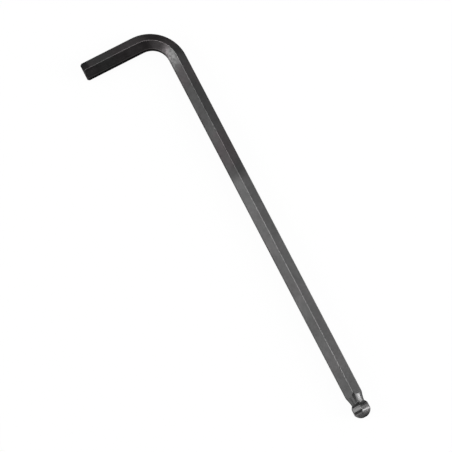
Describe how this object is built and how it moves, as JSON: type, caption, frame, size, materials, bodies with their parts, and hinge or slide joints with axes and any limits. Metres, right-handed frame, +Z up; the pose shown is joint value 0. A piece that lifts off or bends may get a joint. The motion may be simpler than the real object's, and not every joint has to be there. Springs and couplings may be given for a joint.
{
  "type": "hex key",
  "caption": "L-shaped hexagonal steel key with a ball end on its long arm, for turning socket head screws.",
  "frame": {"origin": "on the surface that the key lies on, under the middle of its box", "axes": "+Z up, square to the plane of the bend; the long arm points along -Y and the short arm along -X"},
  "size_m": [0.0466, 0.208, 0.0091],
  "materials": {
    "black_oxide_steel": "satin black oxide on tool steel"
  },
  "bodies": {
    "root": {"hex_key": "black_oxide_steel"}
  },
  "joints": []
}
